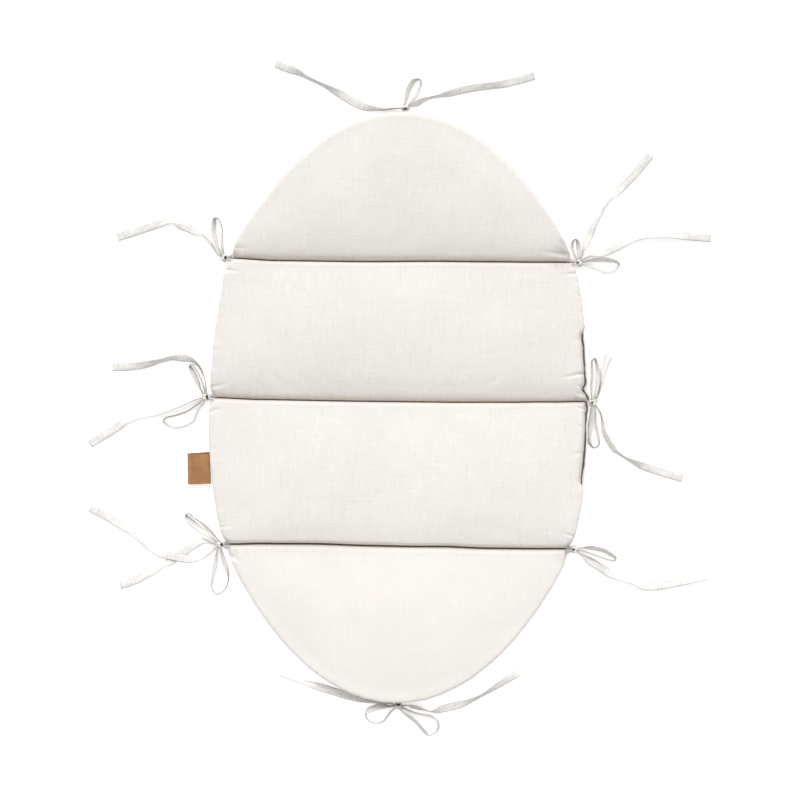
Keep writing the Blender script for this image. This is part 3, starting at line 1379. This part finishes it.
# The knot: its tape's share of its size, its steps and sides, how flat it is, its pleats' depth
# and how often they turn, and the cloth's length along it.
KNOT_TAPE_SHARE = 0.40
KNOT_STEPS = 84
KNOT_SIDES = 10
KNOT_FLATNESS = (1.15, 0.85)
KNOT_PLEAT = 0.10
KNOT_TWIST = 40
KNOT_LENGTH = 0.08

# The hollow in a knot, half its size, and where it lies as shares of the knot's radius.
HOLLOW_SIZE = (0.0018, 0.0027, 0.0013)
HOLLOW_IN_SHARE = 0.35
HOLLOW_UP_SHARE = 0.62

# The gathered cloth between a knot and a corner: where the corner is, from the knot, how the
# cloth arches, its radius at the knot and at the corner, its length and its pleats.
STEM_REACH = 0.0125
STEM_SPREAD = 0.0042
STEM_ARCH = 0.0008
STEM_RADII = (0.0010, 0.0023)
STEM_STEPS = 12
STEM_SIDES = 20
STEM_LENGTH = 0.012
STEM_PLEAT = 0.22
STEM_PLEATS = 5

# The tails whose upper edge leans to the right of their run. All the others lean left.
RIGHT_LEANING = (
    "top_tie_left_tail", "right_head_tie_upper_tail", "right_head_tie_lower_tail",
    "left_middle_tie_upper_tail", "right_foot_tie_tail")


def tape_path(knot, route, sizes, hand):
    """The tape's middle line: a point with its tilt for each step along it."""
    rows = [(*row, 0.0)[:4] for row in route]
    curve = along_curve(rows, CURVE_STEPS)
    path = []
    for across, along, tilt, lift in evenly_spaced(curve, sizes.ring_spacing / MM):
        lean = math.radians(tilt)
        rise = sizes.tape_width * math.sin(lean) + sizes.tape_thickness * abs(math.cos(lean))
        height = sizes.tape_lift + rise / 2 + lift * MM
        path.append((knot.x + across * MM, knot.y + along * MM, height, lean * hand))
    return path


def tape_ribbon(name, path, sizes, finish, open_end):
    """A folded tape along a path, gathered where it enters its knot."""
    left = leftwards(path)
    last = len(path) - 1
    lengths = [0.0]
    for a, b in zip(path, path[1:]):
        lengths.append(lengths[-1] + math.dist(a[:3], b[:3]))
    total = lengths[-1]
    bm = bmesh.new()
    crease = bm.verts.layers.float.new("creased")
    creases = []

    def on_tape(u, v):
        place = round(v * last)
        x, y, height, lean = path[place]
        from_knot = lengths[place] if open_end else min(lengths[place], total - lengths[place])
        free = ease(from_knot / sizes.gather_length)
        width = sizes.tape_width * mix(sizes.gather_share, 1.0, free)
        thickness = sizes.tape_thickness * mix(KNOT_THICKENING, 1.0, free)
        steepness = 90 - abs(abs(math.degrees(lean)) - 90)
        on_edge = ease((steepness - ON_EDGE_TILT) / ON_EDGE_SPAN)
        at_knot = 1 - ease(from_knot / KNOT_SHADE_REACH)
        creases.append(max(ON_EDGE_SHADE * on_edge, KNOT_SHADE * at_knot))
        angle = u * math.tau
        side = math.cos(angle)
        face = math.copysign(abs(math.sin(angle)) ** 0.5, math.sin(angle))
        spot = Vector((x, y, height))
        cup = unevenness("tape cup", spot) * (side * side - 0.5) * free
        crinkle = unevenness("tape crinkle", (x, y, side * CRINKLE_ACROSS))
        offset = face * thickness / 2 + cup + crinkle
        reach = side * width / 2 * (1 + unevenness("tape width", spot, side))
        across = left[place] * math.cos(lean) + Vector((0, 0, math.sin(lean)))
        through = Vector((0, 0, math.cos(lean))) - left[place] * math.sin(lean)
        point = spot + across * reach + through * offset
        point.z = max(point.z, LEAST_HEIGHT)
        return point

    made = drape_grid(bm, TAPE_SIDES, last, on_tape, (TAPE_ROUND, total))
    for vert, share in zip(made, creases):
        vert[crease] = share
    close_up(bm)
    return new_mesh_object(name, bm, finish)


def knot_roll(name, centre, turn, sizes, finish):
    """The knot: one fat loop of tape wound through itself."""
    radius = sizes.knot_radius * KNOT_TAPE_SHARE
    spread = (sizes.knot_radius - radius) / 3
    wide, high = KNOT_FLATNESS
    path = []
    for step in range(KNOT_STEPS + 1):
        angle = step / KNOT_STEPS * math.tau
        x = math.sin(angle) + 2 * math.sin(2 * angle)
        y = math.cos(angle) - 2 * math.cos(2 * angle)
        path.append(Vector((x * spread, y * spread, -math.sin(3 * angle) * radius * wide)))
    turned = Matrix.Rotation(turn, 3, "Z")
    bm = bmesh.new()

    def on_knot(u, v):
        place = round(v * KNOT_STEPS) % KNOT_STEPS
        after = path[(place + 1) % KNOT_STEPS]
        ahead = (after - path[(place - 1) % KNOT_STEPS]).normalized()
        aside = ahead.cross(Vector((0, 0, 1))).normalized()
        up = aside.cross(ahead)
        angle = u * math.tau
        pleat = 1 + KNOT_PLEAT * math.cos(3 * angle + v * KNOT_TWIST)
        outwards = aside * math.cos(angle) * wide + up * math.sin(angle) * high
        return centre + turned @ (path[place] + outwards * radius * pleat)

    drape_grid(bm, KNOT_SIDES, KNOT_STEPS, on_knot, (TAPE_ROUND, KNOT_LENGTH))
    close_up(bm)
    return new_mesh_object(name, bm, finish)


def knot_hollow(name, centre, inwards, sizes, finish):
    """The shaded hollow where the tape enters its knot, on the side towards the pad."""
    bm = bmesh.new()
    made = bmesh.ops.create_uvsphere(bm, u_segments=12, v_segments=8, radius=1.0)["verts"]
    bmesh.ops.scale(bm, verts=made, vec=HOLLOW_SIZE)
    turn = Vector((1, 0, 0)).rotation_difference(inwards).to_matrix().to_4x4()
    bmesh.ops.transform(bm, verts=made, matrix=turn)
    spot = centre + inwards * sizes.knot_radius * HOLLOW_IN_SHARE
    spot.z += sizes.knot_radius * HOLLOW_UP_SHARE
    bmesh.ops.translate(bm, verts=made, vec=spot)
    return new_mesh_object(name, bm, finish)


def corner_stem(name, centre, corner, finish):
    """The gathered cloth between a knot and a corner of a panel."""
    path = []
    for step in range(STEM_STEPS + 1):
        share = step / STEM_STEPS
        spot = centre.lerp(corner, share)
        spot.z += STEM_ARCH * math.sin(share * math.pi)
        path.append(spot)
    bm = bmesh.new()

    def section(angle, place, share):
        pleat = 1 + STEM_PLEAT * math.cos(STEM_PLEATS * angle + share * 6)
        width = mix(*STEM_RADII, share) * pleat
        return math.cos(angle) * width, math.sin(angle) * width * 0.8

    sweep(bm, path, STEM_SIDES, section, STEM_LENGTH)
    return new_mesh_object(name, bm, finish)


def tie_pieces(row, sizes, finish, hollow_finish):
    """One tie's knot, loops and tails, and the cloth gathered to it."""
    name, spot, body, stretches = row
    knot = knot_place(spot, sizes)
    bow = f"{name}_bow"
    centre = knot + Vector((0, 0, sizes.tape_lift + sizes.knot_radius))
    turn = math.atan2(knot.y - MIDDLE_CHANNEL.y, knot.x)
    ball = knot_roll(f"{name}_knot", centre, turn, sizes, finish)
    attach(ball, body)
    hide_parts(bow)
    side = 0 if spot in ("top", "bottom") else math.copysign(1, knot.x)
    level = math.copysign(1, knot.y - MIDDLE_CHANNEL.y)
    inwards = Vector((-side, 0, 0)) if side else Vector((0, -level, 0))
    hollow = knot_hollow(f"{name}_knot_hollow", centre, inwards, sizes, hollow_finish)
    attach(hollow, body)
    for word, away in (("far", 1), ("near", -1)) if side else ():
        corner = Vector((
            knot.x - side * STEM_REACH, knot.y + away * STEM_SPREAD, HEAD_CHANNEL.z))
        stem = corner_stem(f"{name}_{word}_stem", centre, corner, finish)
        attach(stem, body)
    for part, length, route in stretches:
        open_end = part.endswith("tail")
        hand = -1 if f"{name}_{part}" in RIGHT_LEANING else 1
        path = tape_path(knot, route, sizes, hand)
        tape = tape_ribbon(f"{name}_{part}_tape", path, sizes, finish, open_end)
        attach(tape, body)
        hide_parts(f"{name}_{part}" if open_end else bow)


# Seams, stitches and the label.


# The points of an edge seam, round an arch and along one side of a panel.
ARCH_POINTS = 420
SIDE_POINTS = 120

# The edge seam's roll: how much its line strays, its sides, its height by its width, and the
# length of its cloth.
ROLL_STRAY = 0.00035
ROLL_SIDES = 10
ROLL_UPRIGHT = 1.15
EDGE_LENGTH = 0.4

# The crease beside a bare seam: its share of the way out to the seam, how much it strays, its
# height where the seam is tucked and where it is bare, half its own height, and its sides.
CREASE_OUT_SHARE = 0.42
CREASE_STRAY = 0.0015
CREASE_HEIGHTS = (-0.001, 0.0016)
CREASE_HALF_HEIGHT = 0.0008
CREASE_SIDES = 8

# Its tone as a share of the channels' crease, and its width where the seam is tucked, as a share.
EDGE_CREASE_TONE = 0.24
TUCKED_CREASE_SHARE = 0.2


def edge_path(shape, side):
    """The pad's rim as a line: an arch's whole round, or one side of a panel."""
    count = ARCH_POINTS if shape.arched else SIDE_POINTS
    gap = shape.sizes.channel_gap
    points = []
    for step in range(count + 1):
        if shape.arched:
            across, along = shape.arch_point(step / count)
        else:
            along = mix(gap, shape.length - gap, step / count)
            across = side * shape.half_width(along)
        points.append(shape.in_place(across, along, shape.seam_height(along)))
    return points


def outer_line(shape, side, tucked, bare, stray):
    """The rim moved outwards, further where it is bare, with a little unevenness."""
    points = edge_path(shape, side)
    middle = Vector((0, shape.in_place(0, shape.length / 2, 0).y, 0))
    path = []
    for point, aside in zip(points, leftwards(points)):
        outwards = aside if (point - middle).dot(aside) > 0 else -aside
        reach = mix(tucked, bare, shape.bareness(side, shape.laid_flat(point)[1]))
        moved = point + outwards * (reach + stray * unevenness("seam line", point))
        moved.z += unevenness("seam height", point)
        path.append(moved)
    return path


def rim_roll(name, shape, side, stitch, finish):
    """The turned and stitched edge that runs round the rim of a panel."""
    path = outer_line(shape, side, stitch.seam_offset, stitch.bare_seam_offset, ROLL_STRAY)
    bm = bmesh.new()

    def section(angle, place, share):
        spot = path[place]
        nip = 1 + unevenness("seam nip", spot) + unevenness("seam swell", spot)
        radius = stitch.seam_radius * nip
        return math.cos(angle) * radius, math.sin(angle) * radius * ROLL_UPRIGHT

    sweep(bm, path, ROLL_SIDES, section, EDGE_LENGTH)
    return new_mesh_object(name, bm, finish)


def rim_crease(name, shape, side, stitch, finish):
    """The dark gathered crease between the padding and an edge seam that shows."""
    bare_offset = stitch.bare_seam_offset * CREASE_OUT_SHARE
    path = outer_line(shape, side, 0.0, bare_offset, CREASE_STRAY)
    bare = [shape.bareness(side, shape.laid_flat(point)[1]) for point in path]
    for point, share in zip(path, bare):
        point.z += mix(*CREASE_HEIGHTS, share)
    bm = bmesh.new()

    def section(angle, place, share):
        width = stitch.edge_crease * (1 + unevenness("crease width", path[place]))
        width *= mix(TUCKED_CREASE_SHARE, 1.0, bare[place])
        return math.cos(angle) * width, math.sin(angle) * CREASE_HALF_HEIGHT

    sweep(bm, path, CREASE_SIDES, section, EDGE_LENGTH)
    return new_mesh_object(name, bm, finish)


# Turns a sphere's poles to the ends of a stitch.
BEAD_TURN = Vector((0, 0, 1)).rotation_difference(Vector((1, 0, 0))).to_matrix()

# How much a stitch leans and differs in size as a share, and how far it dips, with how soon each
# of them comes back.
STITCH_LEAN = 0.10
STITCH_LEAN_TURN = 2.1
STITCH_UNLIKE = 0.12
STITCH_UNLIKE_TURN = 1.7
STITCH_DIP = 0.0002
STITCH_DIP_TURN = 2.9

# How far the stitches and the pinched cloth run past a channel's ends, how deep under the
# stitches the cloth is pinched, the steps along it, and half its width and height.
STITCH_OVERRUN = 0.002
PINCH_OVERRUN = 0.001
PINCH_DEPTH = 0.0007
PINCH_STEP = 0.004
PINCH_HALF_SIZE = (0.0012, 0.0008)


def bead(bm, centre, ahead, length, width):
    """One stitch: a short fat capsule sunk into its crease."""
    matrix = Vector((1, 0, 0)).rotation_difference(ahead).to_matrix().to_4x4()
    matrix.translation = centre
    made = bmesh.ops.create_uvsphere(bm, u_segments=6, v_segments=4, radius=0.5)["verts"]
    bmesh.ops.rotate(bm, verts=made, cent=(0, 0, 0), matrix=BEAD_TURN)
    bmesh.ops.scale(bm, verts=made, vec=(length, width, width))
    bmesh.ops.transform(bm, verts=made, matrix=matrix)


def channel_line(channel, half, height, spacing):
    """The stitch line of a channel as points in the pad's frame."""
    count = round(2 * half / spacing)
    points = []
    for step in range(count + 1):
        across = mix(-half, half, step / count)
        y = CHANNEL_PLACES[channel] + wander(channel, across)
        points.append(Vector((across, y, height)))
    return points


def stitched_channel(channel, sizes, stitch, thread_finish, crease_finish):
    """The stitches of one channel and the pinched cloth under them."""
    half = sizes.middle_half_width if channel == "middle" else sizes.outer_half_width
    body = "lower_panel" if channel == "foot" else "upper_panel"
    bm = bmesh.new()
    line = channel_line(
        channel, half + STITCH_OVERRUN, sizes.channel_height, stitch.stitch_pitch)
    for place, point in enumerate(line):
        aside = STITCH_LEAN * math.sin(place * STITCH_LEAN_TURN)
        lean = Vector((1, aside, 0)).normalized()
        size = 1 + STITCH_UNLIKE * math.sin(place * STITCH_UNLIKE_TURN)
        point.z += STITCH_DIP * math.sin(place * STITCH_DIP_TURN)
        bead(bm, point, lean, stitch.stitch_length * size, stitch.stitch_width * size)
    stitches = new_mesh_object(f"{channel}_channel_stitches", bm, thread_finish)
    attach(stitches, body)
    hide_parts(f"{channel}_channel_stitching")
    bm = bmesh.new()
    path = channel_line(
        channel, half + PINCH_OVERRUN, sizes.channel_height - PINCH_DEPTH, PINCH_STEP)
    wide, high = PINCH_HALF_SIZE

    def section(angle, place, share):
        return math.cos(angle) * wide, math.sin(angle) * high

    sweep(bm, path, CREASE_SIDES, section, 2 * half)
    crease = new_mesh_object(f"{channel}_channel_crease", bm, crease_finish)
    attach(crease, body)


# The label's corners at its fold, on the left, and at its cut ends: the near and the far one.
LABEL_FOLD = (Vector((-0.2686, -0.2011)), Vector((-0.2698, -0.1613)))
LABEL_ENDS = (Vector((-0.2393, -0.1995)), Vector((-0.2415, -0.1591)))

# A label's round from one cut end to the other in parts: a face, its fold and the other face.
# Then the share of a face that the fold takes up, and where its inside stops short of it.
FACE_PART = 1.6
FOLD_PART = 0.8
FOLD_SHARE = 0.06
INSIDE_SHARE = 0.03

# The leather's steps round and along, its size and its arch, then the width and strength of the
# rubbed edges and the place, width and strength of the light on the fold.
LABEL_STEPS = (88, 40)
LABEL_STRIP = (0.06, 0.04)
LABEL_ARCH = 0.0006
RUB_WIDTH = 0.0011
RUB_STRENGTH = 0.75
FOLD_LIGHT_PLACE = 0.0022
FOLD_LIGHT_WIDTH = 0.0014
FOLD_LIGHT_STRENGTH = 0.35


def hairpin(u):
    """The label's section: the upper face out to the fold, round it, and back underneath."""
    walk = u * (2 * FACE_PART + FOLD_PART)
    if walk < FACE_PART:
        return mix(1.0, FOLD_SHARE, walk / FACE_PART), 1.0
    if walk < FACE_PART + FOLD_PART:
        angle = (walk - FACE_PART) / FOLD_PART * math.pi
        return FOLD_SHARE - FOLD_SHARE * math.sin(angle), math.cos(angle)
    return mix(FOLD_SHARE, 1.0, (walk - FACE_PART - FOLD_PART) / FACE_PART), -1.0


def folded_label(sizes, finish):
    """A strip of leather folded over on itself, its cut ends sewn into the edge seam."""
    middle = middle_of("side_label").z
    inner = sizes.fold_gap / 2
    outer = inner + sizes.leather_thickness
    bm = bmesh.new()

    def on_label(u, v):
        """The outside of the hairpin for the first half of u and its inside for the second."""
        outside = u <= 0.5
        share, level = hairpin(u * 2 if outside else (1 - u) * 2)
        share = share if outside else max(share, INSIDE_SHARE)
        height = level * (outer if outside else inner)
        fold, end = (near.lerp(far, v) for near, far in (LABEL_FOLD, LABEL_ENDS))
        spot = fold.lerp(end, share)
        arch = LABEL_ARCH * math.sin(v * math.pi) * math.sin(clamp(share) * math.pi)
        return Vector((spot.x, spot.y, middle + height + arch))

    drape_grid(bm, *LABEL_STEPS, on_label, LABEL_STRIP)
    close_up(bm)
    label = new_mesh_object("side_label_leather", bm, finish)
    marks = label.data.attributes.new("rub", "FLOAT", "POINT")
    lights = label.data.attributes.new("fold_light", "FLOAT", "POINT")
    near, far = LABEL_FOLD
    fold_light = mix(near.x, far.x, 0.5) + FOLD_LIGHT_PLACE
    for vert in label.data.vertices:
        edge = min(vert.co.y - near.y, far.y - vert.co.y)
        marks.data[vert.index].value = RUB_STRENGTH * (1 - ease(edge / RUB_WIDTH))
        beside = (vert.co.x - fold_light) / FOLD_LIGHT_WIDTH
        lights.data[vert.index].value = FOLD_LIGHT_STRENGTH * math.exp(-beside ** 2)
    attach(label, "lower_panel")
    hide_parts("side_label")


# The stage.


# The width of the camera's sensor in millimetres, how far right the main light stands, as a share
# of its way out past the head, and the second light, over the foot end: its power, size and place.
SENSOR_WIDTH = 36.0
KEY_LEAN = -0.09
FILL_POWER = 0.86
FILL_SIZE = 0.5
FILL_PLACE = (-0.05, -0.62, 0.8)
WHITE = (1, 1, 1, 1)


def set_up_camera(stage):
    """A camera straight above the pad, turned as the photograph is."""
    data = bpy.data.cameras.new("camera")
    data.lens = stage.lens
    data.sensor_width = SENSOR_WIDTH
    camera = bpy.data.objects.new("camera", data)
    height = stage.view_width * stage.lens / SENSOR_WIDTH
    camera.location = (stage.camera_across, stage.camera_along, height)
    camera.rotation_euler = (0, 0, math.radians(stage.roll))
    bpy.context.scene.collection.objects.link(camera)
    bpy.context.scene.camera = camera


def set_up_light(stage):
    """A soft light from the head end, a weak one over the foot end, and a white room."""
    data = bpy.data.lights.new("key", "SUN")
    data.energy = stage.key_strength
    data.angle = math.radians(stage.key_softness)
    key = bpy.data.objects.new("key", data)
    up = math.sin(math.radians(stage.key_height))
    level = math.cos(math.radians(stage.key_height))
    towards_key = Vector((KEY_LEAN * level, level, up))
    key.rotation_euler = towards_key.to_track_quat("Z", "Y").to_euler()
    bpy.context.scene.collection.objects.link(key)
    fill_data = bpy.data.lights.new("foot fill", "AREA")
    fill_data.energy = FILL_POWER
    fill_data.size = FILL_SIZE
    fill = bpy.data.objects.new("foot fill", fill_data)
    fill.location = FILL_PLACE
    bpy.context.scene.collection.objects.link(fill)
    world = bpy.data.worlds.new("room")
    bpy.context.scene.world = world
    world.use_nodes = True
    tree = world.node_tree
    background = tree.nodes["Background"]
    background.inputs["Color"].default_value = WHITE
    strength = add_node(
        tree, "ShaderNodeMapRange",
        {"Value": seen_directly(tree), "To Min": stage.room_strength, "To Max": 1.0})
    tree.links.new(strength.outputs["Result"], background.inputs["Strength"])


def seen_directly(tree):
    """1 where the camera sees a thing itself, in gloss or through glass, and otherwise 0."""
    light_path = add_node(tree, "ShaderNodeLightPath").outputs
    seen = math_value(
        tree, "MAXIMUM", light_path["Is Camera Ray"], light_path["Is Glossy Ray"])
    return math_value(tree, "MAXIMUM", seen, light_path["Is Transmission Ray"])


def set_up_floor(stage, colour):
    """A plain pale floor."""
    material, tree, shader = new_material("pale floor", colour, 0.9)
    shader.inputs["Base Color"].default_value = with_alpha(colour)
    shader.inputs["Emission Color"].default_value = WHITE
    glow = times(tree, seen_directly(tree), stage.floor_glow)
    tree.links.new(glow, shader.inputs["Emission Strength"])
    bm = bmesh.new()
    bmesh.ops.create_grid(bm, x_segments=4, y_segments=4, size=stage.floor_size / 2)
    floor = new_mesh_object("floor", bm, material)


# Operators, one for each group of pieces.


class LOUNGER_OT_stage(bpy.types.Operator):
    """Set up the camera, the light and the floor"""

    bl_idname = "lounger.stage"
    bl_label = "Stage"

    def execute(self, context):
        stage = context.scene.lounger_stage
        set_up_camera(stage)
        set_up_light(stage)
        set_up_floor(stage, context.scene.lounger_finishes.floor)
        context.scene.view_settings.view_transform = "Standard"
        return {"FINISHED"}


class LOUNGER_OT_ties(bpy.types.Operator):
    """Tie the eight bows"""

    bl_idname = "lounger.ties"
    bl_label = "Ties"

    def execute(self, context):
        scene = context.scene
        cloth = tape("tape linen", scene.lounger_finishes.tape_cloth)
        hollow = hollow_cloth("shaded tape", scene.lounger_finishes.hollow)
        for row in TIES:
            tie_pieces(row, scene.lounger_ties, cloth, hollow)
        return {"FINISHED"}


class LOUNGER_OT_panels(bpy.types.Operator):
    """Cut, pad and gather the four panels"""

    bl_idname = "lounger.panels"
    bl_label = "Quilted panels"

    def execute(self, context):
        scene = context.scene
        colour = scene.lounger_finishes.cover_cloth
        cloth = linen("cover linen", colour)
        plainer = linen("cover linen at the foot", colour, 0.5)
        for name in PANEL_ROWS:
            quilted_panel(name, scene.lounger_pad, plainer if name == "foot" else cloth)
        return {"FINISHED"}


class LOUNGER_OT_edges(bpy.types.Operator):
    """Sew the edge seam round the pad"""

    bl_idname = "lounger.edges"
    bl_label = "Edge seams"

    def execute(self, context):
        scene = context.scene
        stitches, finishes = scene.lounger_stitches, scene.lounger_finishes
        cloth = linen("seam linen", finishes.cover_cloth, 1.2, 1.2)
        dark = [EDGE_CREASE_TONE * part for part in finishes.crease_cloth]
        crease = linen("edge crease linen", dark, 0.6, 0.5)
        for name in PANEL_ROWS:
            shape = PanelShape(name, scene.lounger_pad)
            sides = {"": 0} if shape.arched else {"_left": -1, "_right": 1}
            for word, side in sides.items():
                roll = rim_roll(f"{name}{word}_edge_roll", shape, side, stitches, cloth)
                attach(roll, shape.body)
                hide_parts(f"{name}{word}_edge_seam")
                if (name, side) in BARE_RIMS:
                    fold = rim_crease(f"{name}{word}_edge_crease", shape, side, stitches, crease)
                    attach(fold, shape.body)
        return {"FINISHED"}


class LOUNGER_OT_channels(bpy.types.Operator):
    """Stitch the three channels"""

    bl_idname = "lounger.channels"
    bl_label = "Channel stitching"

    def execute(self, context):
        scene = context.scene
        taupe = thread("taupe thread", scene.lounger_finishes.stitch_thread)
        crease = linen("crease linen", scene.lounger_finishes.crease_cloth, 0.6, 0.5)
        for channel in CHANNEL_WANDER:
            stitched_channel(
                channel, scene.lounger_pad, scene.lounger_stitches, taupe, crease)
        return {"FINISHED"}


class LOUNGER_OT_label(bpy.types.Operator):
    """Fold and sew in the leather side label"""

    bl_idname = "lounger.label"
    bl_label = "Side label"

    def execute(self, context):
        finishes = context.scene.lounger_finishes
        hide = leather("tan leather", finishes.leather, finishes.leather_edge)
        folded_label(context.scene.lounger_label, hide)
        return {"FINISHED"}


class LOUNGER_PT_sidebar(bpy.types.Panel):
    """The add-on's buttons and settings"""

    bl_idname = "LOUNGER_PT_sidebar"
    bl_label = "Lounger pad"
    bl_space_type = "VIEW_3D"
    bl_region_type = "UI"
    bl_category = "Lounger pad"

    def draw(self, context):
        column = self.layout.column()
        for operator in OPERATORS:
            column.operator(operator.bl_idname)
        for key, group in SETTINGS.items():
            box = self.layout.box()
            settings = getattr(context.scene, key)
            for name in group.__annotations__:
                box.prop(settings, name)


OPERATORS = (
    LOUNGER_OT_stage,
    LOUNGER_OT_ties,
    LOUNGER_OT_panels,
    LOUNGER_OT_edges,
    LOUNGER_OT_channels,
    LOUNGER_OT_label,
)
SETTINGS = {
    "lounger_pad": PadSizes,
    "lounger_ties": TieSizes,
    "lounger_stitches": StitchSizes,
    "lounger_label": LabelSizes,
    "lounger_finishes": Finishes,
    "lounger_stage": StageSettings,
}


def register():
    """Adds the settings, the operators and the sidebar panel."""
    for group in (*SETTINGS.values(), *OPERATORS, LOUNGER_PT_sidebar):
        bpy.utils.register_class(group)
    for key, group in SETTINGS.items():
        setattr(bpy.types.Scene, key, bpy.props.PointerProperty(type=group))


def unregister():
    """Takes them out again."""
    for key in SETTINGS:
        delattr(bpy.types.Scene, key)
    for group in reversed((*SETTINGS.values(), *OPERATORS, LOUNGER_PT_sidebar)):
        bpy.utils.unregister_class(group)


def main():
    """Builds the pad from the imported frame."""
    register()
    bpy.ops.lounger.stage()
    bpy.ops.lounger.ties()
    bpy.ops.lounger.panels()
    bpy.ops.lounger.edges()
    bpy.ops.lounger.channels()
    bpy.ops.lounger.label()


if __name__ == "__main__":
    main()
